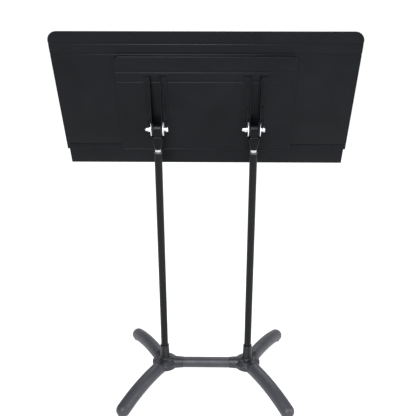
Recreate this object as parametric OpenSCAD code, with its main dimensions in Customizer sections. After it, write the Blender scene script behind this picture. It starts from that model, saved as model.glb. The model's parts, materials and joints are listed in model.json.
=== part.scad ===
// Two-shaft conductor's music stand.
// Millimetres, +Z up. The origin is on the floor, midway between the shafts and the feet.
// The player stands on the +Y side, and the back of the desk faces -Y.

/* [Desk] */
// Width of the desk panel
desk_w = 810; // [650:5:980]
// Height of the desk panel
desk_h = 362; // [330:1:440]
// Thickness of the desk, ledge and stiffener sheet
sheet_t = 1.2; // [1:0.1:2]
// Radius of the panel's two top corners
corner_r = 26; // [10:1:50]
// Width of the folded hem round the panel's top and sides
hem_w = 8; // [5:0.5:12]
// Distance from the panel's top edge to its first bead
bead_drop = 33; // [28:1:45]
// Distance between the two beads
bead_pitch = 28.5; // [20:0.5:35]
// Width of a bead
bead_w = 7.5; // [5:0.5:10]
// Depth of a bead
bead_d = 1.6; // [0.8:0.1:2]
// Tilt of the desk from upright, as it stands
desk_tilt = 18; // [0:1:60]

/* [Ledge] */
// Depth of the ledge from the back of the desk
ledge_depth = 55; // [40:1:75]
// Height of the ledge's turned-up lip
ledge_lip = 12; // [8:1:20]
// Distance of the ledge below the panel's bottom edge
ledge_drop = 50; // [30:1:70]
// Overlap of the ledge's flange on the back of the panel
ledge_lap = 16; // [14:1:25]
// How far the ledge stops short of each side of the panel
ledge_inset = 5.5; // [2:0.5:15]
// Outer radius of the ledge's bends
ledge_bend_r = 4; // [3:0.5:6]

/* [Stiffener] */
// Width of the stiffener plate
plate_w = 486; // [400:2:600]
// Height of the stiffener plate
plate_h = 299; // [270:1:340]
// Distance of the stiffener's top edge below the panel's top edge
plate_drop = 66; // [64:1:80]
// How far the stiffener stands off the back of the panel
plate_rise = 6; // [4:0.5:9]
// Width of the stiffener's inner lips
plate_lip = 13; // [10:1:20]
// Radius of the stiffener's top corners
plate_corner_r = 16; // [5:1:25]
// Radius of the stiffener's bottom corners
plate_low_r = 12; // [5:1:20]
// Distance from the stiffener's top edge to its first bead
plate_bead_drop = 44.5; // [40:0.5:60]

/* [Tilt joint] */
// Distance of the pivot below the panel's top edge
pivot_drop = 274; // [255:1:290]
// Distance of the pivot behind the panel's back face
pivot_depth = 30; // [26:1:40]
// Radius of the pivot bolt
bolt_r = 4; // [3:0.5:5]
// Radius of the bracket's ear round the bolt
ear_r = 18; // [15:0.5:20]
// Thickness of the bracket
bracket_t = 2.5; // [2:0.5:4]
// Width of the bracket's riveted flange
bracket_flange = 16; // [14:1:24]
// Length of the bracket above the pivot
bracket_up = 151; // [110:1:160]
// Height of the bracket's ear at its top end
bracket_tip = 11; // [5:0.5:14]
// Width of the tilt head's barrel
barrel_w = 23.4; // [18:0.2:32]
// Radius of the tilt head's barrel
barrel_r = 18; // [12:0.5:19]
// Thickness of a friction washer
friction_t = 1.3; // [0.5:0.1:2]
// Radius of a large washer
washer_r = 19.5; // [14:0.5:24]
// Thickness of a large washer
washer_t = 2; // [1.2:0.1:3]
// Length of the tilt head below the pivot
neck_len = 58.5; // [50:0.5:80]
// Width of the tilt head's shoulders
shoulder_w = 33; // [28:0.5:40]

/* [Shafts] */
// Distance between the two shafts
shaft_spacing = 270; // [220:1:340]
// Height of the top of the outer tubes above the floor
shaft_top = 775; // [600:1:930]
// Diameter of an outer tube
outer_d = 22.2; // [18:0.1:27]
// Wall of an outer tube
outer_wall = 0.9; // [0.8:0.1:1.2]
// Wall of the clutch sleeve between the two tubes
sleeve_wall = 0.65; // [0.6:0.05:1.2]
// Wall of an inner tube
inner_wall = 1.5; // [1:0.1:2.5]
// Length of an inner tube
inner_len = 580; // [400:5:700]
// Height of the clutch's collar above the outer tube
collar_h = 5; // [2:0.5:8]
// Length of inner tube that shows above the collar, as it stands
exposed = 6.5; // [4:0.5:40]

/* [Base] */
// Height of the cross tube's axis above the floor
axis_z = 53; // [50:1:65]
// Diameter of the cross tube
cross_d = 34.4; // [28:0.2:42]
// Diameter of the leg tubes
leg_d = 43; // [35:0.5:46]
// Wall of the legs and the cross tube
tube_wall = 1.6; // [1.2:0.1:2.5]
// Angle of a leg from the cross tube
leg_angle = 60; // [50:1:70]
// Distance from a shaft to the end of its leg's tube
leg_reach = 226; // [180:1:280]
// Slope of a leg where it leaves its hub
leg_slope = 0.5; // [0:0.5:5]
// Distance from a shaft to the end of a leg socket
leg_arm = 42; // [42:1:55]
// Distance from a shaft to the end of the cross tube socket
cross_arm = 60; // [50:1:75]
// Radius of a hub's disc
hub_disc_r = 41.5; // [36:0.5:41.5]
// Thickness of a hub's disc
hub_disc_h = 36; // [26:1:40]
// Height of a hub's collar above the cross tube's axis
hub_collar_h = 70; // [50:1:95]
// Wall of a hub's collar at its top
hub_collar_wall = 2.8; // [2:0.1:6]
// Length of the spigots that hold the legs and the cross tube
spigot_len = 22; // [18:1:40]
// Height of a foot glide
glide_h = 2.5; // [2:0.1:8]
// Radius of a foot glide
glide_r = 12; // [8:0.5:15]

/* [Hidden] */
$fn = 64;

// Clearances
run_gap = 0.05;    // between a shaft and its bore
slip_gap = 0.1;    // between a fastener or a spigot and its hole
swing_gap = 3.5;   // between the ears and the tilt head's shoulders

// Heights and places along the shafts
shaft_x = shaft_spacing / 2;
outer_r = outer_d / 2;
bore_r = outer_r - outer_wall;              // inside of an outer tube
inner_r = bore_r - sleeve_wall;             // outside of an inner tube
inner_bore_r = inner_r - inner_wall;
inner_top = shaft_top + collar_h + exposed;
pivot_z = inner_top + neck_len;
leg_r = leg_d / 2;
hub_bottom = axis_z - leg_r - 1.5;
socket_z = hub_bottom + 11;                 // seat of an outer tube in its hub

// Desk frame: the pivot is the origin, y towards the player and z up the desk
panel_top = pivot_drop;
panel_bottom = pivot_drop - desk_h;
flange_top = panel_bottom + ledge_lap;
ledge_z = panel_bottom - ledge_drop;        // underside of the ledge
ledge_w = desk_w - 2 * ledge_inset;
plate_top = panel_top - plate_drop;
plate_bottom = plate_top - plate_h;
plate_face = pivot_depth - plate_rise;      // the stiffener's back face

// Stack along a pivot bolt, from the shaft's centre outwards
barrel_half = barrel_w / 2 - run_gap;
ear_in = barrel_w / 2 + friction_t;
ear_out = ear_in + bracket_t;
washer_out = ear_out + washer_t;
lock_t = 2.5;
lock_out = washer_out + lock_t;
hex_flat = 3.25 * bolt_r;                   // distance across the flats
hex_head_h = 6.5;
head_collar_h = 3.5;                        // round collar under the bolt's head
head_collar_r = 1.4 * bolt_r;
nut_base_h = 6.5;
nut_skirt = 3.2;                            // straight part under an acorn nut's dome
nut_dome_r = 0.86 * hex_flat / 2;

// Base
cross_r = cross_d / 2;
foot_z = leg_r + glide_h;                   // height of a leg's axis at its end
leg_straight = leg_arm + spigot_len + 1;    // where a leg starts to bend down
leg_fall = axis_z - foot_z;
// The end of a leg's tube, along and across the leg's sloping first part
leg_along = leg_reach * cos(leg_slope) + leg_fall * sin(leg_slope);
leg_across = leg_fall * cos(leg_slope) - leg_reach * sin(leg_slope);
leg_run = leg_along - leg_straight;
leg_bend_r = (leg_run * leg_run + leg_across * leg_across) / (2 * leg_across);
leg_bend = asin(leg_run / leg_bend_r);
hub_collar_r = outer_r + hub_collar_wall;
hub_foot_r = hub_collar_r + 1.6;            // the collar widens a little towards the hub
hub_fillet = 5;                             // height and width of the slope round its foot
hub_boss_r = 17;
arm_step = 0.6;                             // step from a hub's arm down to its tube
cap_plug = 18;

// Bolt up the middle of a hub, into the plug in the outer tube's foot
shaft_bolt_r = 4;
shaft_head_h = 5.3;
shaft_head_flat = 13;
shaft_washer_r = 9.5;
shaft_washer_z = hub_bottom + 1;

// Fasteners
rivet_r = 1.6;
rivet_head_r = 3.6;
rivet_head_h = 0.9;
screw_r = 3;
screw_head_r = 5.2;
screw_head_h = 2.6;
pin_r = 2;

// ---------------------------------------------------------------- helpers

// A profile drawn in the plane across the desk, swept along X
module across(w) {
    rotate([90, 0, 90]) linear_extrude(w, center = true) children();
}

// Moves the desk frame to its place on the stand
module in_desk() {
    translate([0, 0, pivot_z]) rotate([desk_tilt, 0, 0]) children();
}

// A cylinder along X between two places
module x_rod(x1, x2, r) {
    translate([min(x1, x2), 0, 0]) rotate([0, 90, 0]) cylinder(h = abs(x2 - x1), r = r);
}

// A flat ring along X
module x_ring(x1, x2, r, hole_r) {
    difference() {
        x_rod(x1, x2, r);
        x_rod(min(x1, x2) - 1, max(x1, x2) + 1, hole_r);
    }
}

// A hexagonal prism along X
module x_hex(x1, x2, flat) {
    translate([min(x1, x2), 0, 0]) rotate([0, 90, 0])
        cylinder(h = abs(x2 - x1), r = flat / sqrt(3), $fn = 6);
}

module pipe(h, r, hole_r) {
    difference() {
        cylinder(h = h, r = r);
        translate([0, 0, -1]) cylinder(h = h + 2, r = hole_r);
    }
}

// Outline of a sheet: r rounds its top corners and low_r its bottom ones
module sheet_outline(w, bottom, top, r, low_r) {
    translate([-w / 2, bottom + low_r]) square([w, top - r - bottom - low_r]);
    translate([-w / 2 + r, top - r - 1]) square([w - 2 * r, r + 1]);
    translate([-w / 2 + low_r, bottom]) square([w - 2 * low_r, low_r + 1]);
    for (side = [-1, 1]) {
        translate([side * (w / 2 - r), top - r]) circle(r);
        if (low_r > 0) translate([side * (w / 2 - low_r), bottom + low_r]) circle(low_r);
    }
}

// The same sheet, standing from y to y + t
module sheet(w, bottom, top, r, y, t, low_r = 0) {
    translate([0, y + t, 0]) rotate([90, 0, 0])
        linear_extrude(t) sheet_outline(w, bottom, top, r, low_r);
}

// A long bead with sloping sides: grow widens it, and y is where its base lies
module bead(w, z, y, grow = 0) {
    across(w + 2 * grow) polygon([
        [y - 0.01, z - bead_w / 2 - grow], [y - 0.01, z + bead_w / 2 + grow],
        [y + bead_d, z + bead_w / 2 - bead_d + grow], [y + bead_d, z - bead_w / 2 + bead_d - grow]
    ]);
}

// Cuts two beads right across the back of a sheet, and raises them on its front over width w
module beaded(w, first, y) {
    difference() {
        union() {
            children();
            for (i = [0, 1]) bead(w, first - i * bead_pitch, y + sheet_t, 0.7);
        }
        for (i = [0, 1]) bead(2 * w, first - i * bead_pitch, y);
    }
}

// A quarter bend of a sheet: 0 is the corner towards +y and +z
module bend(r, turn) {
    rotate(turn) intersection() {
        difference() {
            circle(r);
            circle(r - sheet_t);
        }
        square(r);
    }
}

// Two flat heads and a shank along y, from the front face back to the rear one
module rivet(front, back) {
    translate([0, back, 0]) rotate([-90, 0, 0]) cylinder(h = front - back, r = rivet_r);
    translate([0, front, 0]) rotate([-90, 0, 0])
        cylinder(h = rivet_head_h, r1 = rivet_head_r, r2 = rivet_head_r - rivet_head_h);
    translate([0, back, 0]) rotate([90, 0, 0])
        cylinder(h = rivet_head_h, r1 = rivet_head_r, r2 = rivet_head_r - rivet_head_h);
}

module rivet_hole(y1, y2) {
    translate([0, y1 - 1, 0]) rotate([-90, 0, 0]) cylinder(h = y2 - y1 + 2, r = rivet_r + run_gap);
}

// Places of the rivets, as [x, z] in the desk frame
function row(n, first, last, z) = [for (i = [0:n - 1]) [first + (last - first) * i / (n - 1), z]];
lap_z = panel_bottom + ledge_lap / 2;
ledge_rivet_places = concat(
    row(2, -ledge_w / 2 + 30, -plate_w / 2 - 25, lap_z),
    row(2, plate_w / 2 + 25, ledge_w / 2 - 30, lap_z)
);
plate_rivet_reach = plate_w / 2 - 2 * plate_corner_r;
top_rivet_places = row(5, -plate_rivet_reach, plate_rivet_reach, plate_top - plate_lip / 2);
low_rivet_places = row(5, -plate_rivet_reach, plate_rivet_reach, lap_z);
bracket_rivet_z = [for (i = [0:2]) -8 + i * (bracket_up - 8) / 2.15];

// ---------------------------------------------------------------- desk

module desk_panel() {
    color("#1c1d1f") in_desk() difference() {
        union() {
            beaded(desk_w - 2 * hem_w, panel_top - bead_drop, pivot_depth)
                sheet(desk_w, panel_bottom, panel_top, corner_r, pivot_depth, sheet_t);
            panel_hem();
        }
        for (p = concat(ledge_rivet_places, top_rivet_places, low_rivet_places))
            translate([p[0], 0, p[1]]) rivet_hole(pivot_depth, pivot_depth + sheet_t);
    }
}

// The sheet folded onto its own front, round the top and both sides
module panel_hem() {
    difference() {
        sheet(desk_w, panel_bottom, panel_top, corner_r, pivot_depth + sheet_t - 0.01, sheet_t);
        sheet(desk_w - 2 * hem_w, panel_bottom - 1, panel_top - hem_w, corner_r - hem_w,
              pivot_depth + sheet_t - 1, sheet_t + 2);
    }
}

module music_ledge() {
    back = pivot_depth - sheet_t;
    r = ledge_bend_r;
    color("#1c1d1f") in_desk() difference() {
        across(ledge_w) {
            translate([back, ledge_z + r]) square([sheet_t, flange_top - ledge_z - r]);
            translate([back + r, ledge_z]) square([ledge_depth - 2 * r, sheet_t]);
            translate([back + ledge_depth - sheet_t, ledge_z + r]) square([sheet_t, ledge_lip - r]);
            translate([back + r, ledge_z + r]) bend(r, 180);
            translate([back + ledge_depth - r, ledge_z + r]) bend(r, 270);
        }
        for (p = concat(ledge_rivet_places, low_rivet_places))
            translate([p[0], 0, p[1]]) rivet_hole(back, pivot_depth);
    }
}

module ledge_rivets() {
    color("#1c1d1f") in_desk() for (p = ledge_rivet_places) translate([p[0], 0, p[1]])
        rivet(pivot_depth + sheet_t, pivot_depth - sheet_t);
}

// A tray: its upper lip lies on the panel, and its lower one on the ledge's flange
module stiffener_plate() {
    upper_y = pivot_depth - sheet_t;
    lower_y = upper_y - sheet_t;
    color("#1c1d1f") in_desk() difference() {
        union() {
            beaded(plate_w - 2, plate_top - plate_bead_drop, plate_face)
                sheet(plate_w, plate_bottom, plate_top, plate_corner_r, plate_face, sheet_t, plate_low_r);
            plate_rim();
            plate_lip(upper_y, plate_top - plate_lip, plate_top);
            plate_lip(lower_y, plate_bottom, flange_top);
        }
        translate([-plate_w, upper_y, ledge_z])
            cube([2 * plate_w, 2 * sheet_t, flange_top + slip_gap - ledge_z]);
        for (p = top_rivet_places) translate([p[0], 0, p[1]]) rivet_hole(upper_y, pivot_depth);
        for (p = low_rivet_places) translate([p[0], 0, p[1]]) rivet_hole(lower_y, upper_y);
        for (x = bracket_rivet_x, z = bracket_rivet_z) translate([x, 0, z])
            rivet_hole(plate_face, plate_face + sheet_t);
    }
}

module plate_lip(y, bottom, top) {
    translate([-plate_w / 2 + plate_corner_r, y, bottom])
        cube([plate_w - 2 * plate_corner_r, sheet_t, top - bottom]);
}

// The stiffener's edge, turned in to meet the back of the panel
module plate_rim() {
    difference() {
        sheet(plate_w, plate_bottom, plate_top, plate_corner_r, plate_face + bead_d, plate_rise - bead_d,
              plate_low_r);
        sheet(plate_w - 2 * sheet_t, plate_bottom + sheet_t, plate_top - sheet_t,
              plate_corner_r - sheet_t, plate_face - 1, plate_rise + 2, plate_low_r - sheet_t);
    }
}

module plate_rivets() {
    color("#1c1d1f") in_desk() {
        for (p = top_rivet_places) translate([p[0], 0, p[1]])
            rivet(pivot_depth + sheet_t, pivot_depth - sheet_t);
        for (p = low_rivet_places) translate([p[0], 0, p[1]])
            rivet(pivot_depth + sheet_t, pivot_depth - 2 * sheet_t);
    }
}

// ---------------------------------------------------------------- tilt brackets and pivots

flange_mid = ear_out + bracket_flange / 2;
bracket_rivet_x = [for (s = [-1, 1], e = [-1, 1]) s * shaft_x + e * flange_mid];

// The point where the ear's long edge meets the circle round the bolt
tip = [plate_face - bracket_tip, bracket_up];
tip_angle = atan2(tip[1], tip[0]) + acos(ear_r / norm(tip));
ear_touch = ear_r * [cos(tip_angle), sin(tip_angle)];

// One folded angle: an ear beside the tilt head and a flange on the stiffener.
// side is -1 or 1, for the ear on the -X or the +X side of the shaft.
module tilt_bracket(shaft, side) {
    mid = side * (ear_in + ear_out) / 2;
    color("#17181a") in_desk() translate([shaft, 0, 0]) difference() {
        union() {
            translate([mid, 0, 0]) across(bracket_t) {
                circle(ear_r);
                polygon([[plate_face, bracket_up], tip, ear_touch, [0, 0], [0, -ear_r],
                         [plate_face, -ear_r]]);
            }
            translate([side > 0 ? ear_in : -ear_out - bracket_flange, plate_face - bracket_t, -ear_r])
                cube([bracket_t + bracket_flange, bracket_t, bracket_up + ear_r]);
        }
        x_rod(mid - bracket_t, mid + bracket_t, bolt_r + slip_gap);
        for (z = bracket_rivet_z) translate([side * flange_mid, 0, z])
            rivet_hole(plate_face - bracket_t, plate_face);
    }
}

module bracket_rivets() {
    color("#17181a") in_desk() for (x = bracket_rivet_x, z = bracket_rivet_z) translate([x, 0, z])
        rivet(plate_face + sheet_t, plate_face - bracket_t);
}

module pivot_bolt(shaft) {
    color("#c9ccd0") in_desk() translate([shaft, 0, 0]) {
        x_rod(-lock_out - nut_base_h, lock_out, bolt_r);
        x_rod(lock_out, lock_out + head_collar_h, head_collar_r);
        x_hex(lock_out + head_collar_h, lock_out + head_collar_h + hex_head_h, hex_flat);
    }
}

module lock_washers() {
    color("#b9bcc0") in_desk() for (s = [-1, 1], e = [-1, 1]) translate([s * shaft_x, 0, 0])
        x_ring(e * washer_out, e * lock_out, 1.65 * bolt_r, bolt_r + slip_gap);
}

module fender_washers() {
    color("#e4e6e8") in_desk() for (s = [-1, 1], e = [-1, 1]) translate([s * shaft_x, 0, 0])
        x_ring(e * ear_out, e * washer_out, washer_r, bolt_r + slip_gap);
}

module friction_washers() {
    color("#2a2b2d") in_desk() for (s = [-1, 1], e = [-1, 1]) translate([s * shaft_x, 0, 0])
        x_ring(e * (ear_in - friction_t), e * ear_in, barrel_r + 1, bolt_r + slip_gap);
}

module acorn_nuts() {
    nut_out = lock_out + nut_base_h;
    color("#d5d8db") in_desk() for (s = [-1, 1]) translate([s * shaft_x, 0, 0]) difference() {
        union() {
            x_hex(-nut_out, -lock_out, hex_flat);
            x_rod(-nut_out - nut_skirt, -nut_out + 1, nut_dome_r);
            translate([-nut_out - nut_skirt, 0, 0]) intersection() {
                sphere(nut_dome_r);
                x_rod(-nut_dome_r - 1, 0, nut_dome_r + 1);
            }
        }
        x_rod(-nut_out, 0, bolt_r + run_gap);
    }
}

// ---------------------------------------------------------------- shafts

// Barrel, shoulders, tapered neck and the spigot inside the inner tube
module tilt_head(shaft) {
    shoulder_z = -(ear_r + swing_gap);
    spigot = inner_bore_r - run_gap;
    color("#1d1e20") translate([shaft, 0, pivot_z]) difference() {
        union() {
            x_rod(-barrel_half, barrel_half, barrel_r);
            translate([-barrel_half, -barrel_r * 0.8, shoulder_z - 6])
                cube([2 * barrel_half, barrel_r * 1.6, 6 - shoulder_z]);
            hull() {
                for (s = [-1, 1], d = [-1, 1])
                    translate([s * (shoulder_w / 2 - 5), d * (barrel_r * 0.86 - 5), shoulder_z - 5])
                        cylinder(h = 5, r = 5, $fn = 32);
                translate([0, 0, -neck_len]) cylinder(h = 4, r = inner_r + 1, $fn = 32);
            }
            translate([0, 0, -neck_len - head_spigot]) cylinder(h = head_spigot + 5, r = spigot);
        }
        x_rod(-barrel_w, barrel_w, bolt_r + run_gap);
        translate([0, 0, -neck_len - head_spigot / 2]) x_rod(-outer_d, outer_d, pin_r + run_gap);
    }
}
head_spigot = 40;

// Cross pins that hold the inner tubes on the heads
module head_pins() {
    color("#8d9094") for (s = [-1, 1]) translate([s * shaft_x, 0, inner_top - head_spigot / 2])
        x_rod(0.4 - inner_r, inner_r - 0.4, pin_r);
}

module inner_tube(shaft) {
    color("#d0d3d6") translate([shaft, 0, inner_top]) difference() {
        translate([0, 0, -inner_len]) pipe(inner_len, inner_r, inner_bore_r);
        translate([0, 0, -head_spigot / 2]) x_rod(-outer_d, outer_d, pin_r + run_gap);
    }
}

// Slides in the outer tube and closes the bottom of the inner one
module guide_plug(shaft) {
    plug_h = 22;
    color("#e9e6dc") translate([shaft, 0, inner_top - inner_len]) {
        translate([0, 0, -plug_h]) difference() {
            cylinder(h = plug_h, r = bore_r - run_gap);
            for (z = [5, 15]) translate([0, 0, z]) pipe(2.5, outer_r, bore_r - 0.9);
        }
        cylinder(h = plug_h, r = inner_bore_r - run_gap);
    }
}

// Collar on top of the outer tube, and spring fingers that grip the inner tube
module clutch_sleeve(shaft) {
    sleeve_len = 70;
    color("#2c2d30") translate([shaft, 0, shaft_top]) difference() {
        union() {
            cylinder(h = collar_h, r1 = outer_r + 0.4, r2 = outer_r - 0.6);
            translate([0, 0, -sleeve_len]) cylinder(h = sleeve_len + 1, r = bore_r - run_gap);
        }
        translate([0, 0, -sleeve_len - 1])
            cylinder(h = sleeve_len + collar_h + 2, r = inner_r + run_gap);
        for (a = [0, 90]) rotate(a) translate([-1, -outer_r, -sleeve_len - 1])
            cube([2, outer_d, sleeve_len - 14]);
    }
}

module outer_tube(shaft) {
    color("#1b1c1e") translate([shaft, 0, socket_z]) pipe(shaft_top - socket_z, outer_r, bore_r);
}

// Threaded plug in the foot of the outer tube
module shaft_plug(shaft) {
    plug_h = 30;
    color("#9a9da1") translate([shaft, 0, socket_z]) pipe(plug_h, bore_r - run_gap, shaft_bolt_r + run_gap);
}

module shaft_bolts() {
    color("#8d9094") for (s = [-1, 1]) translate([s * shaft_x, 0, 0]) {
        translate([0, 0, shaft_washer_z]) cylinder(h = socket_z + 22 - shaft_washer_z, r = shaft_bolt_r);
        translate([0, 0, shaft_washer_z - shaft_head_h])
            cylinder(h = shaft_head_h, r = shaft_head_flat / sqrt(3), $fn = 6);
    }
}

module shaft_bolt_washers() {
    color("#b9bcc0") for (s = [-1, 1]) translate([s * shaft_x, 0, shaft_washer_z])
        pipe(washer_t, shaft_washer_r, shaft_bolt_r + slip_gap);
}

// ---------------------------------------------------------------- base

// Length, tube radius, slope and direction of a hub's three arms, for the hub on the given side
arm_len = [cross_arm, leg_arm, leg_arm];
arm_tube_r = [cross_r, leg_r, leg_r];
arm_slope = [0, leg_slope, leg_slope];
function arm_turn(side, i) = side > 0 ? [180, leg_angle, -leg_angle][i]
                                      : [0, 180 - leg_angle, 180 + leg_angle][i];

// Puts x along one of a hub's arms
module at_arm(side, i) {
    translate([side * shaft_x, 0, axis_z]) rotate([0, arm_slope[i], arm_turn(side, i)]) children();
}

// One arm: it narrows to a little more than the tube that it carries, and ends in a spigot
module hub_arm(i) {
    end_r = arm_tube_r[i] + arm_step;
    rotate([0, 90, 0]) cylinder(h = arm_len[i], r1 = leg_r + 2 * arm_step, r2 = end_r);
    x_rod(0, arm_len[i] + spigot_len, arm_tube_r[i] - tube_wall - slip_gap);
}

module hub(side) {
    color("#55565a") mirror([side < 0 ? 1 : 0, 0, 0]) difference() {
        union() {
            for (i = [0:2]) at_arm(1, i) hub_arm(i);
            translate([shaft_x, 0, axis_z]) hub_body();
        }
        translate([shaft_x, 0, socket_z]) cylinder(h = axis_z + hub_collar_h, r = outer_r + run_gap);
        translate([shaft_x, 0, 0]) cylinder(h = axis_z, r = shaft_bolt_r + slip_gap);
        translate([shaft_x, 0, 0]) cylinder(h = shaft_washer_z + washer_t, r = shaft_washer_r + 1);
        for (i = [0:2]) at_arm(1, i) screw_hole(i);
    }
}

// A disc with bevelled rims between the arms, the boss for the bolt, and the collar
module hub_body() {
    rim_r = hub_disc_h / 2;
    for (up = [0, 180]) rotate([up, 0, 0]) {
        cylinder(h = rim_r * 0.4, r = hub_disc_r);
        translate([0, 0, rim_r * 0.4]) cylinder(h = rim_r * 0.6, r1 = hub_disc_r, r2 = hub_disc_r - rim_r * 0.8);
    }
    translate([0, 0, hub_bottom - axis_z]) cylinder(h = leg_r, r1 = hub_boss_r - 2, r2 = hub_boss_r);
    cylinder(h = rim_r + hub_fillet, r = hub_foot_r);
    translate([0, 0, rim_r - 1]) cylinder(h = hub_fillet + 1, r1 = hub_foot_r + hub_fillet, r2 = hub_foot_r);
    translate([0, 0, rim_r + hub_fillet - 0.5])
        cylinder(h = hub_collar_h - rim_r - hub_fillet + 0.5, r1 = hub_foot_r - 0.1, r2 = hub_collar_r);
}

// Hole for a spigot's screw, through the underside of the tube on arm i
module screw_hole(i) {
    translate([arm_len[i] + spigot_len / 2, 0, -leg_d]) cylinder(h = leg_d, r = screw_r + slip_gap);
}

module cross_tube() {
    len = shaft_spacing - 2 * cross_arm;
    color("#55565a") difference() {
        translate([-len / 2, 0, axis_z]) rotate([0, 90, 0]) pipe(len, cross_r, cross_r - tube_wall);
        for (side = [-1, 1]) at_arm(side, 0) screw_hole(0);
    }
}

// Which of a hub's arms carries a leg: away is 1 on the player's side, -1 at the back
function leg_arm_of(away) = away > 0 ? 1 : 2;

// Puts x along the end of a leg's tube, with the middle of its end as the origin
module at_leg_end(side, away) {
    at_arm(side, leg_arm_of(away)) translate([leg_along, 0, -leg_across]) rotate([0, leg_bend, 0])
        children();
}

module leg(side, away) {
    color("#55565a") at_arm(side, leg_arm_of(away)) difference() {
        union() {
            translate([leg_arm, 0, 0]) rotate([0, 90, 0])
                pipe(leg_straight - leg_arm, leg_r, leg_r - tube_wall);
            translate([leg_straight, 0, -leg_bend_r]) rotate([-90, 0, 0]) rotate(-90)
                rotate_extrude(angle = leg_bend, $fn = 180) translate([leg_bend_r, 0]) difference() {
                    circle(leg_r);
                    circle(leg_r - tube_wall);
                }
        }
        screw_hole(1);
    }
}

// Domed plug in the end of a leg
module end_cap(side, away) {
    color("#6a6b6e") at_leg_end(side, away) {
        intersection() {
            sphere(leg_r);
            x_rod(0, leg_d, leg_d);
        }
        x_rod(-cap_plug, 0.5, leg_r - tube_wall - 4 * slip_gap);
    }
}

// Pad under the end of a leg, shaped to the cap that it is fixed to
module glide(side, away) {
    color("#3a3b3d") difference() {
        translate([side * shaft_x, 0, 0]) rotate(arm_turn(side, leg_arm_of(away)))
            translate([leg_reach + glide_r * 0.6, 0, 0]) cylinder(h = glide_h + 5, r = glide_r);
        at_leg_end(side, away) sphere(leg_r + run_gap);
    }
}

module spigot_screws() {
    color("#8d9094") for (side = [-1, 1], i = [0:2]) at_arm(side, i)
        translate([arm_len[i] + spigot_len / 2, 0, -arm_tube_r[i] - screw_head_h]) {
            cylinder(h = screw_head_h, r1 = screw_head_r - 1, r2 = screw_head_r);
            cylinder(h = 14, r = screw_r);
        }
}

// ---------------------------------------------------------------- nodes

desk_panel();
music_ledge();
ledge_rivets();
stiffener_plate();
plate_rivets();
tilt_bracket(-shaft_x, -1);  // left_outer_tilt_bracket
tilt_bracket(-shaft_x, 1);  // left_inner_tilt_bracket
tilt_bracket(shaft_x, -1);  // right_inner_tilt_bracket
tilt_bracket(shaft_x, 1);  // right_outer_tilt_bracket
bracket_rivets();
pivot_bolt(-shaft_x);  // left_pivot_bolt
pivot_bolt(shaft_x);  // right_pivot_bolt
fender_washers();
friction_washers();
lock_washers();
acorn_nuts();
tilt_head(-shaft_x);  // left_tilt_head
tilt_head(shaft_x);  // right_tilt_head
head_pins();
inner_tube(-shaft_x);  // left_inner_tube
inner_tube(shaft_x);  // right_inner_tube
guide_plug(-shaft_x);  // left_guide_plug
guide_plug(shaft_x);  // right_guide_plug
clutch_sleeve(-shaft_x);  // left_clutch_sleeve
clutch_sleeve(shaft_x);  // right_clutch_sleeve
outer_tube(-shaft_x);  // left_outer_tube
outer_tube(shaft_x);  // right_outer_tube
shaft_plug(-shaft_x);  // left_shaft_plug
shaft_plug(shaft_x);  // right_shaft_plug
shaft_bolts();
shaft_bolt_washers();
hub(-1);  // left_hub
hub(1);  // right_hub
cross_tube();
leg(-1, 1);  // front_left_leg
leg(1, 1);  // front_right_leg
leg(-1, -1);  // back_left_leg
leg(1, -1);  // back_right_leg
end_cap(-1, 1);  // front_left_end_cap
end_cap(1, 1);  // front_right_end_cap
end_cap(-1, -1);  // back_left_end_cap
end_cap(1, -1);  // back_right_end_cap
glide(-1, 1);  // front_left_glide
glide(1, 1);  // front_right_glide
glide(-1, -1);  // back_left_glide
glide(1, -1);  // back_right_glide
spigot_screws();
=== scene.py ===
import json
import math

import bmesh
import bpy
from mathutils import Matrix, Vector


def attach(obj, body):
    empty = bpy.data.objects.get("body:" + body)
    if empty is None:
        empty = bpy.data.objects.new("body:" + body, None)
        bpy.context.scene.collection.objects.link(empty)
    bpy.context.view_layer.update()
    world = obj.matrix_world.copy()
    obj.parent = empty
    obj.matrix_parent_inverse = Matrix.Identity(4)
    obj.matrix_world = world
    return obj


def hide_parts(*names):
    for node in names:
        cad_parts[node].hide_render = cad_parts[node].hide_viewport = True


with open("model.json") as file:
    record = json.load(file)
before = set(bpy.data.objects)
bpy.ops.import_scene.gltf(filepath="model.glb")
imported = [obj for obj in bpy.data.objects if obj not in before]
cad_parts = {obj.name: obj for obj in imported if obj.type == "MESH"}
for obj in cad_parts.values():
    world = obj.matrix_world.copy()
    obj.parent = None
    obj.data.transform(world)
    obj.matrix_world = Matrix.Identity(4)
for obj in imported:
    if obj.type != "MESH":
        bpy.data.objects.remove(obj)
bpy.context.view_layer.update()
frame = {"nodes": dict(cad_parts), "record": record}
nodes = frame["nodes"]
print("frame loaded:", len(nodes), "nodes")



def newMaterial(name):
    mat = bpy.data.materials.new(name)
    mat.use_nodes = True
    tree = mat.node_tree
    tree.nodes.clear()
    out = tree.nodes.new("ShaderNodeOutputMaterial")
    shader = tree.nodes.new("ShaderNodeBsdfPrincipled")
    tree.links.new(shader.outputs["BSDF"], out.inputs["Surface"])
    coords = tree.nodes.new("ShaderNodeTexCoord")
    return mat, tree, shader, coords.outputs["Object"]


def noise(tree, vector, scale, detail=3, rough=0.5):
    tex = tree.nodes.new("ShaderNodeTexNoise")
    tex.inputs["Scale"].default_value = scale
    tex.inputs["Detail"].default_value = detail
    tex.inputs["Roughness"].default_value = rough
    tree.links.new(vector, tex.inputs["Vector"])
    return tex.outputs["Fac"]


def ramp(tree, value, stops):
    node = tree.nodes.new("ShaderNodeValToRGB")
    elements = node.color_ramp.elements
    elements[0].position, elements[0].color = stops[0][0], (*stops[0][1], 1)
    elements[1].position, elements[1].color = stops[-1][0], (*stops[-1][1], 1)
    for place, colour in stops[1:-1]:
        elements.new(place).color = (*colour, 1)
    tree.links.new(value, node.inputs["Fac"])
    return node.outputs["Color"]


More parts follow.
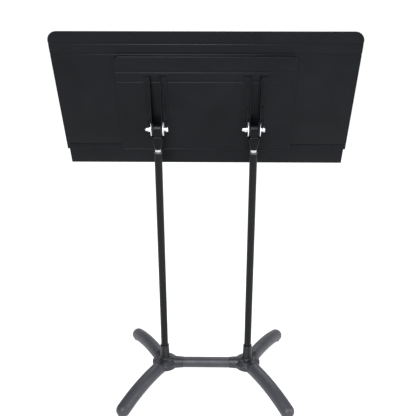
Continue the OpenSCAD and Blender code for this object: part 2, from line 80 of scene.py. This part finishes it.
def rangeOf(tree, value, low, high, fromLow=0.3, fromHigh=0.7):
    node = tree.nodes.new("ShaderNodeMapRange")
    node.inputs["From Min"].default_value = fromLow
    node.inputs["From Max"].default_value = fromHigh
    node.inputs["To Min"].default_value = low
    node.inputs["To Max"].default_value = high
    tree.links.new(value, node.inputs["Value"])
    return node.outputs["Result"]


def bump(tree, shader, height, distance, strength=1.0, after=None):
    node = tree.nodes.new("ShaderNodeBump")
    node.inputs["Distance"].default_value = distance
    node.inputs["Strength"].default_value = strength
    tree.links.new(height, node.inputs["Height"])
    if after:
        tree.links.new(after, node.inputs["Normal"])
    tree.links.new(node.outputs["Normal"], shader.inputs["Normal"])
    return node.outputs["Normal"]


# slow colour changes, patches of roughness and two scales of orange peel
coatTexture = {"toneScale": 9, "patchScale": 60, "patchSpread": (-0.04, 0.05), "fineScale": 2600}


def powderCoat(name, dark, light, roughness, peel=0.00012, gloss=0.5, grain=700):
    t = coatTexture
    mat, tree, shader, coords = newMaterial(name)
    shader.inputs["Specular IOR Level"].default_value = gloss
    tone = noise(tree, coords, t["toneScale"], 4, 0.6)
    tree.links.new(ramp(tree, tone, [(0.3, dark), (0.7, light)]), shader.inputs["Base Color"])
    smooth, dull = (roughness + step for step in t["patchSpread"])
    tree.links.new(rangeOf(tree, noise(tree, coords, t["patchScale"], 2), smooth, dull),
                   shader.inputs["Roughness"])
    fine = bump(tree, shader, noise(tree, coords, t["fineScale"], 2), peel * 0.5, 0.6)
    bump(tree, shader, noise(tree, coords, grain, 2), peel, 0.5, fine)
    return mat


metalTexture = {"toneScale": 90, "patchScale": 400, "patchSpread": (-0.05, 0.08),
                "fineScale": 1500, "peel": 0.00004}


def metal(name, dark, light, roughness, metallic=1):
    t = metalTexture
    mat, tree, shader, coords = newMaterial(name)
    shader.inputs["Metallic"].default_value = metallic
    tree.links.new(ramp(tree, noise(tree, coords, t["toneScale"], 3), [(0.3, dark), (0.7, light)]),
                   shader.inputs["Base Color"])
    smooth, dull = (roughness + step for step in t["patchSpread"])
    tree.links.new(rangeOf(tree, noise(tree, coords, t["patchScale"], 2), smooth, dull),
                   shader.inputs["Roughness"])
    bump(tree, shader, noise(tree, coords, t["fineScale"], 2), t["peel"], 0.4)
    return mat


# painted shade: the height over which the coat is darkened towards the collar, and how dark it gets
# there; then the scale and spread of random blotches over the whole casting
collarPaintedShadeAndBlotch = {"from": 0.068, "to": 0.078, "tone": 0.3, "blotchScale": 45, "blotch": (0.72, 1.2)}


def castingCoatWithPaintedShade(name, dark, light, roughness, peel, gloss, grain):
    # the same kind of coat as on the tubes, with painted shade that makes the upright collar darker than
    # the arms, and random blotches
    mat = powderCoat(name, dark, light, roughness, peel, gloss, grain)
    tree = mat.node_tree
    shader = next(node for node in tree.nodes if node.type == "BSDF_PRINCIPLED")
    coords = next(node for node in tree.nodes if node.type == "TEX_COORD")
    split = tree.nodes.new("ShaderNodeSeparateXYZ")
    tree.links.new(coords.outputs["Object"], split.inputs["Vector"])
    c = collarPaintedShadeAndBlotch
    # painted shade: the base colour is darkened with height, up to the collar
    shade = rangeOf(tree, split.outputs["Z"], 1.0, c["tone"], c["from"], c["to"])
    blotch = rangeOf(tree, noise(tree, coords.outputs["Object"], c["blotchScale"], 4, 0.6), *c["blotch"])
    product = tree.nodes.new("ShaderNodeMath")
    product.operation = "MULTIPLY"
    tree.links.new(shade, product.inputs[0])
    tree.links.new(blotch, product.inputs[1])
    mix = tree.nodes.new("ShaderNodeVectorMath")
    mix.operation = "SCALE"
    tree.links.new(shader.inputs["Base Color"].links[0].from_socket, mix.inputs[0])
    tree.links.new(product.outputs[0], mix.inputs["Scale"])
    tree.links.new(mix.outputs["Vector"], shader.inputs["Base Color"])
    return mat


# each finish: the darker and the lighter end of its colour, then its sheen
deskCoat = powderCoat("deskCoat", (0.0034, 0.0040, 0.0048), (0.0054, 0.0061, 0.0072), 0.36, gloss=0.09)
headCoat = powderCoat("headCoat", (0.0007, 0.0009, 0.0011), (0.0014, 0.0017, 0.0020), 0.36, gloss=0.13)
tubeCoat = powderCoat("tubeCoat", (0.0026, 0.0030, 0.0034), (0.0044, 0.0048, 0.0054), 0.36, gloss=0.17)
baseCoat = powderCoat("baseCoat", (0.026, 0.026, 0.031), (0.046, 0.046, 0.054), 0.46,
                      peel=0.0005, gloss=0.42, grain=330)
# the hub casting's coat, with painted shade darkening its collar
hubCoat = castingCoatWithPaintedShade("hubCoat", (0.016, 0.016, 0.019), (0.034, 0.034, 0.039), 0.42,
                      peel=0.0005, gloss=0.36, grain=330)
zinc = metal("zinc", (0.62, 0.64, 0.66), (0.80, 0.81, 0.82), 0.28)
brightZinc = metal("brightZinc", (0.66, 0.68, 0.70), (0.82, 0.83, 0.84), 0.34, metallic=0.35)
chrome = metal("chrome", (0.52, 0.53, 0.55), (0.60, 0.61, 0.63), 0.12)
sleeve = powderCoat("sleeve", (0.030, 0.030, 0.032), (0.050, 0.050, 0.052), 0.5)
nylon = powderCoat("nylon", (0.62, 0.60, 0.54), (0.70, 0.68, 0.62), 0.5)
rubber = powderCoat("rubber", (0.012, 0.012, 0.013), (0.02, 0.02, 0.021), 0.75)

slotMaterial = {
    "desk_coat": deskCoat, "base_coat": baseCoat, "zinc_steel": zinc, "chrome_tube": chrome,
    "sleeve_plastic": sleeve, "plug_plastic": nylon, "friction_plastic": rubber,
    "cap_plastic": baseCoat, "glide_rubber": rubber,
}
for part in frame["record"]["subparts"]:
    obj = nodes[part["node"]]
    obj.data.materials.clear()
    obj.data.materials.append(slotMaterial[part["material_slot"]])
for side in ("left", "right"):
    nodes[side + "_outer_tube"].data.materials[0] = tubeCoat
print("materials on the CAD nodes")

mm = 0.001
onPlane = 1e-5                      # how near a vertex lies to a plane that it counts as on
facing = 0.9                        # how much of a normal points along an axis that it faces
shaftX = 0.135                      # half the distance between the shafts
pivotZ = next(joint["pos_m"][2] for joint in frame["record"]["behaviour"]["joints"]
              if joint["name"] == "desk_tilt")
deskTilt = math.radians(18)


def selectOnly(obj):
    bpy.ops.object.select_all(action="DESELECT")
    obj.select_set(True)
    bpy.context.view_layer.objects.active = obj


def startEdit(obj):
    selectOnly(obj)
    bpy.ops.object.mode_set(mode="EDIT")
    bpy.ops.mesh.select_all(action="SELECT")


def endEdit():
    bpy.ops.object.mode_set(mode="OBJECT")


def pick(kind, rule):
    # selects vertices, edges or faces of the mesh in edit mode by a rule
    bpy.ops.mesh.select_all(action="DESELECT")
    bpy.ops.mesh.select_mode(type=kind)
    mesh = bmesh.from_edit_mesh(bpy.context.object.data)
    items = {"VERT": mesh.verts, "EDGE": mesh.edges, "FACE": mesh.faces}[kind]
    for item in items:
        if rule(item):
            item.select_set(True)
    mesh.select_flush_mode()
    bmesh.update_edit_mesh(bpy.context.object.data)


def middle(item):
    return sum((vert.co for vert in item.verts), Vector()) / len(item.verts)


def setPlace(obj):
    selectOnly(obj)
    bpy.ops.object.transform_apply(location=True, rotation=True, scale=True)


def useModifier(obj, kind, **settings):
    selectOnly(obj)
    modifier = obj.modifiers.new(kind.lower(), kind)
    for name, value in settings.items():
        setattr(modifier, name, value)
    bpy.ops.object.modifier_apply(modifier=modifier.name)


def softEdges(obj, width, segments=2, angle=35):
    useModifier(obj, "BEVEL", width=width, segments=segments, limit_method="ANGLE",
                angle_limit=math.radians(angle))
    selectOnly(obj)
    bpy.ops.object.shade_smooth_by_angle(angle=math.radians(40))


def finish(obj, name, material, body, slotName, *cadNodes):
    obj.name = name
    obj.data.name = name
    obj.data.materials.clear()
    obj.data.materials.append(material)
    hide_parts(*cadNodes)
    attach(obj, body)
    return obj


def intoDesk(obj):
    # from the desk's own frame, with the pivot as its origin, to the stand
    obj.location = (0, 0, pivotZ)
    obj.rotation_euler = (deskTilt, 0, 0)
    setPlace(obj)


def copyOfNode(node):
    obj = nodes[node].copy()
    obj.data = nodes[node].data.copy()
    bpy.context.collection.objects.link(obj)
    for key in list(obj.keys()):
        del obj[key]
    obj.parent = None
    startEdit(obj)
    bpy.ops.mesh.remove_doubles(threshold=0.00001)
    endEdit()
    return obj


def standingSheet(width, bottom, top, y):
    # a flat upright sheet whose face looks along -Y
    bpy.ops.object.select_all(action="DESELECT")
    bpy.ops.mesh.primitive_plane_add(size=1, location=(0, y, (bottom + top) / 2),
                                     rotation=(math.pi / 2, 0, 0))
    sheet = bpy.context.object
    sheet.scale = (width, top - bottom, 1)
    setPlace(sheet)
    return sheet


def roundCorners(rule, radius, segments):
    pick("VERT", rule)
    bpy.ops.mesh.bevel(affect="VERTICES", offset=radius, offset_type="OFFSET", segments=segments,
                       profile=0.5)


# a bead's outline: places across its half width, and the share of its depth there
beadShape = {"width": 7.5 * mm, "depth": 1.6 * mm,
             "steps": [(-1.0, 0.0), (-0.84, 0.08), (-0.54, 0.92), (-0.4, 1.0), (0.4, 1.0),
                       (0.54, 0.92), (0.84, 0.08), (1.0, 0.0)]}


def pressBeads(heights, deepest, reach, width=beadShape["width"], depth=beadShape["depth"]):
    # rows of cuts, then the rows between a bead's edges are pressed in
    half = width / 2
    for z in heights:
        for step, share in beadShape["steps"]:
            bpy.ops.mesh.select_all(action="SELECT")
            bpy.ops.mesh.bisect(plane_co=(0, 0, z + step * half), plane_no=(0, 0, 1))
    for z in heights:
        for step, share in beadShape["steps"][1:-1]:
            row = z + step * half
            pick("VERT", lambda vert: abs(vert.co.z - row) < onPlane and vert.co.y < deepest + reach)
            bpy.ops.transform.translate(value=(0, share * depth, 0))


# the flat desk panel and its hem, folded onto the player's side
deskPanel = {"width": 810 * mm, "bottom": -88 * mm, "top": 274 * mm, "back": 30 * mm,
             "thick": 1.2 * mm, "cornerRadius": 26 * mm, "beads": [241 * mm, 212.5 * mm],
             "hem": 8 * mm, "foldRadius": 0.55 * mm}


def makeDeskPanel():
    d = deskPanel
    panel = standingSheet(d["width"], d["bottom"], d["top"], d["back"])
    startEdit(panel)
    roundCorners(lambda vert: vert.co.z > d["top"] - onPlane, d["cornerRadius"], 12)
    pressBeads(d["beads"], d["back"], 1)
    endEdit()
    useModifier(panel, "SOLIDIFY", thickness=d["thick"], offset=-1)
    softEdges(panel, d["foldRadius"], 3, 60)

    hem = standingSheet(d["width"], d["bottom"], d["top"], d["back"] + d["thick"])
    startEdit(hem)
    roundCorners(lambda vert: vert.co.z > d["top"] - onPlane, d["cornerRadius"], 12)
    pick("FACE", lambda face: True)
    bpy.ops.mesh.inset(thickness=d["hem"])
    bpy.ops.mesh.delete(type="FACE")
    pick("FACE", lambda face: middle(face).z < d["bottom"] + d["hem"])
    bpy.ops.mesh.delete(type="FACE")
    endEdit()
    useModifier(hem, "SOLIDIFY", thickness=d["thick"], offset=-1)
    softEdges(hem, d["foldRadius"], 3, 60)

    bpy.ops.object.select_all(action="DESELECT")
    hem.select_set(True)
    panel.select_set(True)
    bpy.context.view_layer.objects.active = panel
    bpy.ops.object.join()
    intoDesk(panel)
    finish(panel, "desk_sheet", deskCoat, "desk", "desk_coat", "desk_panel")


# the shallow tray on the back of the desk
stiffener = {"width": 486 * mm, "bottom": -91 * mm, "top": 208 * mm, "back": 24 * mm,
             "rise": 5.6 * mm, "thick": 1.2 * mm, "topRadius": 16 * mm, "lowRadius": 12 * mm,
             "fold": 3.4 * mm, "beads": [163.5 * mm, 135 * mm],
             "rolledEdge": {"height": 2.8 * mm, "width": 5.6 * mm, "proud": 1.2 * mm}}


def makeStiffener():
    d = stiffener
    plate = standingSheet(d["width"], d["bottom"], d["top"], d["back"])
    startEdit(plate)
    roundCorners(lambda vert: vert.co.z > d["top"] - onPlane, d["topRadius"], 8)
    roundCorners(lambda vert: vert.co.z < d["bottom"] + onPlane, d["lowRadius"], 6)
    pick("EDGE", lambda edge: edge.is_boundary)
    bpy.ops.mesh.extrude_region_move(TRANSFORM_OT_translate={"value": (0, d["rise"], 0)})
    pick("EDGE", lambda edge: not edge.is_boundary and len(edge.link_faces) == 2
         and all(abs(vert.co.y - d["back"]) < onPlane for vert in edge.verts))
    bpy.ops.mesh.bevel(offset=d["fold"], segments=5, affect="EDGES", profile=0.5)
    pressBeads(d["beads"], d["back"], d["fold"] * 0.7)
    roll = d["rolledEdge"]          # a low ridge along the lower edge
    pressBeads([d["bottom"] + d["fold"] + roll["height"]], d["back"], 0.1 * mm, roll["width"],
               -roll["proud"])
    bpy.ops.mesh.select_all(action="SELECT")
    bpy.ops.mesh.normals_make_consistent(inside=False)
    endEdit()
    useModifier(plate, "SOLIDIFY", thickness=d["thick"], offset=-1)
    softEdges(plate, 0.25 * mm, 2, 60)
    intoDesk(plate)
    finish(plate, "stiffener_tray", deskCoat, "desk", "desk_coat", "stiffener_plate")


# the ledge: flange, shelf and lip in one folded sheet
ledge = {"width": 799 * mm, "top": -72 * mm, "shelf": -138 * mm, "back": 28.8 * mm, "depth": 55 * mm,
         "lip": 12 * mm, "thick": 1.2 * mm, "bendRadius": 4 * mm}


def makeLedge():
    d = ledge
    tray = standingSheet(d["width"], d["shelf"], d["top"], d["back"])
    startEdit(tray)
    pick("EDGE", lambda edge: all(vert.co.z < d["shelf"] + onPlane for vert in edge.verts))
    bpy.ops.mesh.extrude_region_move(TRANSFORM_OT_translate={"value": (0, d["depth"], 0)})
    bpy.ops.mesh.extrude_region_move(TRANSFORM_OT_translate={"value": (0, 0, d["lip"])})
    pick("EDGE", lambda edge: not edge.is_boundary)
    bpy.ops.mesh.bevel(offset=d["bendRadius"], segments=6, affect="EDGES", profile=0.5)
    endEdit()
    useModifier(tray, "SOLIDIFY", thickness=d["thick"], offset=-1)
    softEdges(tray, 0.4 * mm, 2, 60)
    intoDesk(tray)
    finish(tray, "ledge_tray", deskCoat, "desk", "desk_coat", "music_ledge")


makeDeskPanel()
makeStiffener()
makeLedge()
print("desk sheets made")

# folded brackets, with the soft edges of pressed plate
brackets = {"edge": 0.55 * mm, "segments": 3,
            "nodes": ["left_outer_tilt_bracket", "left_inner_tilt_bracket",
                      "right_inner_tilt_bracket", "right_outer_tilt_bracket"]}


def makeBrackets():
    for node in brackets["nodes"]:
        piece = copyOfNode(node)
        startEdit(piece)
        bpy.ops.mesh.dissolve_limited(angle_limit=math.radians(1))
        endEdit()
        softEdges(piece, brackets["edge"], brackets["segments"])
        finish(piece, node.replace("_tilt_bracket", "_folded_bracket"), deskCoat, "desk",
               "desk_coat", node)


# cast tilt heads, rounded over as castings are
tiltHeads = {"voxel": 0.75 * mm, "smoothing": 30}


def makeTiltHeads():
    for side in ("left", "right"):
        piece = copyOfNode(side + "_tilt_head")
        useModifier(piece, "REMESH", mode="VOXEL", voxel_size=tiltHeads["voxel"],
                    use_smooth_shade=True)
        useModifier(piece, "SMOOTH", factor=0.5, iterations=tiltHeads["smoothing"])
        selectOnly(piece)
        bpy.ops.object.shade_smooth()
        finish(piece, side + "_cast_head", headCoat, "lift", "desk_coat", side + "_tilt_head")


# cast hubs
hubs = {"voxel": 1.15 * mm, "smoothing": 7}


def makeHubs():
    for side in ("left", "right"):
        piece = copyOfNode(side + "_hub")
        useModifier(piece, "REMESH", mode="VOXEL", voxel_size=hubs["voxel"], use_smooth_shade=True)
        useModifier(piece, "SMOOTH", factor=0.5, iterations=hubs["smoothing"])
        selectOnly(piece)
        bpy.ops.object.shade_smooth()
        finish(piece, side + "_casting", hubCoat, "base", "base_coat", side + "_hub")


makeBrackets()
makeTiltHeads()
makeHubs()
print("brackets and castings made")

# sizes along X are measured from each joint's middle
fastener = {"hexAcross": 13 * mm, "nutBase": 6.5 * mm, "nutSkirt": 3.2 * mm, "domeRadius": 5.59 * mm,
            "boltRadius": 4 * mm, "headCollar": 3.5 * mm, "headCollarRadius": 5.6 * mm,
            "headHeight": 6.5 * mm, "lockOut": 20 * mm, "domeSteps": 8, "domeEnd": 88,
            "cornerTrim": 0.985, "cornerBevel": 0.9 * mm}


def turned(x1, x2, radius, vertices=48):
    # a rod along X, from x1 to x2
    bpy.ops.object.select_all(action="DESELECT")
    bpy.ops.mesh.primitive_cylinder_add(vertices=vertices, radius=radius, depth=abs(x2 - x1),
                                        location=((x1 + x2) / 2, 0, 0),
                                        rotation=(0, math.pi / 2, 0))
    rod = bpy.context.object
    setPlace(rod)
    return rod


def joinAll(objects):
    bpy.ops.object.select_all(action="DESELECT")
    for obj in objects:
        obj.select_set(True)
    bpy.context.view_layer.objects.active = objects[0]
    bpy.ops.object.join()
    return objects[0]


def hexPiece(x1, x2):
    # a six-sided block whose corners are turned down at both ends
    corner = fastener["hexAcross"] / math.sqrt(3)
    block = turned(x1, x2, corner, 6)
    cone = turned(x1, x2, corner * fastener["cornerTrim"])
    softEdges(cone, fastener["cornerBevel"], 3)
    useModifier(block, "BOOLEAN", operation="INTERSECT", object=cone, solver="EXACT")
    bpy.data.objects.remove(cone)
    softEdges(block, 0.12 * mm, 2, 25)
    return block


def acornNut(shaft):
    f = fastener
    start = -f["lockOut"]
    block = hexPiece(start, start - f["nutBase"])
    dome = turned(start - f["nutBase"] + 1 * mm, start - f["nutBase"] - f["nutSkirt"], f["domeRadius"])
    startEdit(dome)
    end = start - f["nutBase"] - f["nutSkirt"]
    pick("FACE", lambda face: abs(middle(face).x - end) < onPlane and abs(face.normal.x) > facing)
    for i in range(1, f["domeSteps"] + 1):
        before, angle = (math.radians(f["domeEnd"] * k / f["domeSteps"]) for k in (i - 1, i))
        shift = (math.sin(angle) - math.sin(before)) * f["domeRadius"]
        size = math.cos(angle) / math.cos(before)
        bpy.ops.mesh.extrude_region_move(TRANSFORM_OT_translate={"value": (-shift, 0, 0)})
        bpy.ops.transform.resize(value=(1, size, size), center_override=(end, 0, 0))
    endEdit()
    selectOnly(dome)
    bpy.ops.object.shade_smooth_by_angle(angle=math.radians(50))
    nut = joinAll([block, dome])
    nut.location = (shaft, 0, 0)
    setPlace(nut)
    return nut


def pivotBolt(shaft):
    f = fastener
    shank = turned(-f["lockOut"] - f["nutBase"] * 0.8, f["lockOut"], f["boltRadius"])
    collar = turned(f["lockOut"], f["lockOut"] + f["headCollar"], f["headCollarRadius"])
    softEdges(collar, 0.4 * mm, 3)
    head = hexPiece(f["lockOut"] + f["headCollar"], f["lockOut"] + f["headCollar"] + f["headHeight"])
    bolt = joinAll([shank, collar, head])
    bolt.location = (shaft, 0, 0)
    setPlace(bolt)
    return bolt


def makeFasteners():
    nuts = joinAll([acornNut(-shaftX), acornNut(shaftX)])
    intoDesk(nuts)
    finish(nuts, "domed_nuts", zinc, "desk", "zinc_steel", "acorn_nuts")
    for side, shaft in (("left", -shaftX), ("right", shaftX)):
        bolt = pivotBolt(shaft)
        intoDesk(bolt)
        finish(bolt, side + "_hinge_bolt", zinc, "desk", "zinc_steel", side + "_pivot_bolt")


# plain rings and small turned parts keep their shape and get broken edges
smallParts = {
    "fender_washers": ("wide_washers", 0.5 * mm, brightZinc, "desk", "zinc_steel"),
    "lock_washers": ("spring_washers", 0.3 * mm, zinc, "desk", "zinc_steel"),
    "shaft_bolts": ("foot_bolts", 0.4 * mm, zinc, "base", "zinc_steel"),
    "shaft_bolt_washers": ("foot_washers", 0.3 * mm, zinc, "base", "zinc_steel"),
    "spigot_screws": ("arm_screws", 0.4 * mm, zinc, "base", "zinc_steel"),
    "left_clutch_sleeve": ("left_collar", 0.35 * mm, sleeve, "base", "sleeve_plastic"),
    "right_clutch_sleeve": ("right_collar", 0.35 * mm, sleeve, "base", "sleeve_plastic"),
}


def makeSmallParts():
    for node, (name, edge, material, body, slotName) in smallParts.items():
        piece = copyOfNode(node)
        startEdit(piece)
        bpy.ops.mesh.dissolve_limited(angle_limit=math.radians(1))
        endEdit()
        softEdges(piece, edge, 2)
        finish(piece, name, material, body, slotName, node)


# a low dome over each rivet head
rivets = {"radius": 3.5 * mm, "height": 1.5 * mm, "rim": 0.35 * mm, "sunk": 0.9 * mm,
          "steps": 4, "domeEnd": 85}


def rivetPlaces(node):
    # the two head centres of each rivet, from the loose pieces of the CAD node
    piece = copyOfNode(node)
    startEdit(piece)
    bpy.ops.mesh.separate(type="LOOSE")
    endEdit()
    parts = [obj for obj in bpy.context.selected_objects if obj.type == "MESH"]
    if piece not in parts:
        parts.append(piece)
    out = Vector((0, -math.cos(deskTilt), -math.sin(deskTilt)))
    places = []
    for part in parts:
        along = [vert.co.dot(out) for vert in part.data.vertices]
        centre = sum((vert.co for vert in part.data.vertices), Vector()) / len(along)
        flat = centre - out * centre.dot(out)
        places.append((flat + out * (max(along) - rivets["sunk"]), 1))
        places.append((flat + out * (min(along) + rivets["sunk"]), -1))
        bpy.data.objects.remove(part)
    return places


def rivetHead():
    r = rivets
    bpy.ops.object.select_all(action="DESELECT")
    bpy.ops.mesh.primitive_cylinder_add(vertices=20, radius=r["radius"], depth=r["rim"],
                                        location=(0, 0, r["rim"] / 2))
    head = bpy.context.object
    setPlace(head)
    startEdit(head)
    pick("FACE", lambda face: face.normal.z > facing)
    for i in range(1, r["steps"] + 1):
        before, angle = (math.radians(r["domeEnd"] * k / r["steps"]) for k in (i - 1, i))
        lift = (math.sin(angle) - math.sin(before)) * (r["height"] - r["rim"])
        bpy.ops.mesh.extrude_region_move(TRANSFORM_OT_translate={"value": (0, 0, lift)})
        size = math.cos(angle) / math.cos(before)
        bpy.ops.transform.resize(value=(size, size, 1), center_override=(0, 0, 0))
    endEdit()
    selectOnly(head)
    bpy.ops.object.shade_smooth_by_angle(angle=math.radians(60))
    return head


def makeRivets():
    model = rivetHead()
    for node, name in (("bracket_rivets", "bracket_rivet_heads"), ("plate_rivets", "tray_rivet_heads"),
                       ("ledge_rivets", "ledge_rivet_heads")):
        heads = []
        for place, way in rivetPlaces(node):
            head = model.copy()
            head.data = model.data.copy()
            bpy.context.collection.objects.link(head)
            head.location = place
            head.rotation_euler = (math.pi / 2 + deskTilt if way > 0 else deskTilt - math.pi / 2, 0, 0)
            setPlace(head)
            heads.append(head)
        finish(joinAll(heads), name, deskCoat, "desk", "desk_coat", node)
    bpy.data.objects.remove(model)


makeFasteners()
makeSmallParts()
makeRivets()
print("bolts, nuts, washers and rivets made")

# a bright floor and horizon, and three soft boxes
floorSetup = {"size": 90, "colour": (0.35, 0.35, 0.35), "glow": 0.94}
worldSetup = {"horizon": (1.0, 1.0, 1.0), "above": (0.16, 0.17, 0.18), "strength": 1.0}
softBoxes = {
    "frontBox": {"place": (-0.35, -2.3, 2.35), "target": (0, 0, 0.45), "size": (1.3, 1.1),
                 "power": 115, "colour": (0.93, 0.96, 1.0)},
    "sideBox": {"place": (2.3, -0.9, 1.5), "target": (0, 0, 0.5), "size": (0.9, 1.6),
                "power": 40, "colour": (0.88, 0.94, 1.0)},
    "backBox": {"place": (0.3, 2.4, 2.6), "target": (0, 0, 0.8), "size": (1.6, 1.0),
                "power": 40, "colour": (1.0, 1.0, 1.0)},
}
cameraSetup = {"place": (0.0278, -1.625, 1.298), "pitch": 23.05, "yaw": 0.76, "lens": 51.9}


def addFloor():
    bpy.ops.object.select_all(action="DESELECT")
    bpy.ops.mesh.primitive_plane_add(size=floorSetup["size"], location=(0, 0, 0))
    floor = bpy.context.object
    floor.name = "floor"
    mat, tree, shader, coords = newMaterial("floorPaint")
    shade = floorSetup["colour"]
    darker = tuple(0.985 * c for c in shade)
    tree.links.new(ramp(tree, noise(tree, coords, 2, 2), [(0.3, darker), (0.7, shade)]),
                   shader.inputs["Base Color"])
    shader.inputs["Roughness"].default_value = 0.9
    shader.inputs["Specular IOR Level"].default_value = 0.1
    shader.inputs["Emission Color"].default_value = (1, 1, 1, 1)
    shader.inputs["Emission Strength"].default_value = floorSetup["glow"]
    floor.data.materials.append(mat)


def addSoftBox(name, place, target, size, power, colour):
    bpy.ops.object.light_add(type="AREA", location=place)
    light = bpy.context.object
    light.name = name
    light.data.shape = "RECTANGLE"
    light.data.size, light.data.size_y = size
    light.data.energy = power
    light.data.color = colour
    light.rotation_euler = (Vector(target) - Vector(place)).to_track_quat("-Z", "Y").to_euler()


def addWorld():
    # pale near the horizon and dim overhead, so the upper sides of the tubes stay dark
    world = bpy.data.worlds.new("studio")
    bpy.context.scene.world = world
    world.use_nodes = True
    tree = world.node_tree
    coords = tree.nodes.new("ShaderNodeTexCoord")
    split = tree.nodes.new("ShaderNodeSeparateXYZ")
    tree.links.new(coords.outputs["Generated"], split.inputs["Vector"])
    colour = ramp(tree, split.outputs["Z"], [(0.06, worldSetup["horizon"]), (0.45, worldSetup["above"])])
    back = tree.nodes["Background"]
    tree.links.new(colour, back.inputs["Color"])
    back.inputs["Strength"].default_value = worldSetup["strength"]


def addCamera():
    bpy.ops.object.camera_add(location=cameraSetup["place"],
                              rotation=(math.radians(90 - cameraSetup["pitch"]), 0,
                                        math.radians(cameraSetup["yaw"])))
    camera = bpy.context.object
    camera.data.lens = cameraSetup["lens"]
    camera.data.sensor_width = 36
    bpy.context.scene.camera = camera


addFloor()
addWorld()
for name, box in softBoxes.items():
    addSoftBox(name, **box)
addCamera()
bpy.context.scene.view_settings.view_transform = "Standard"
print("stage set")
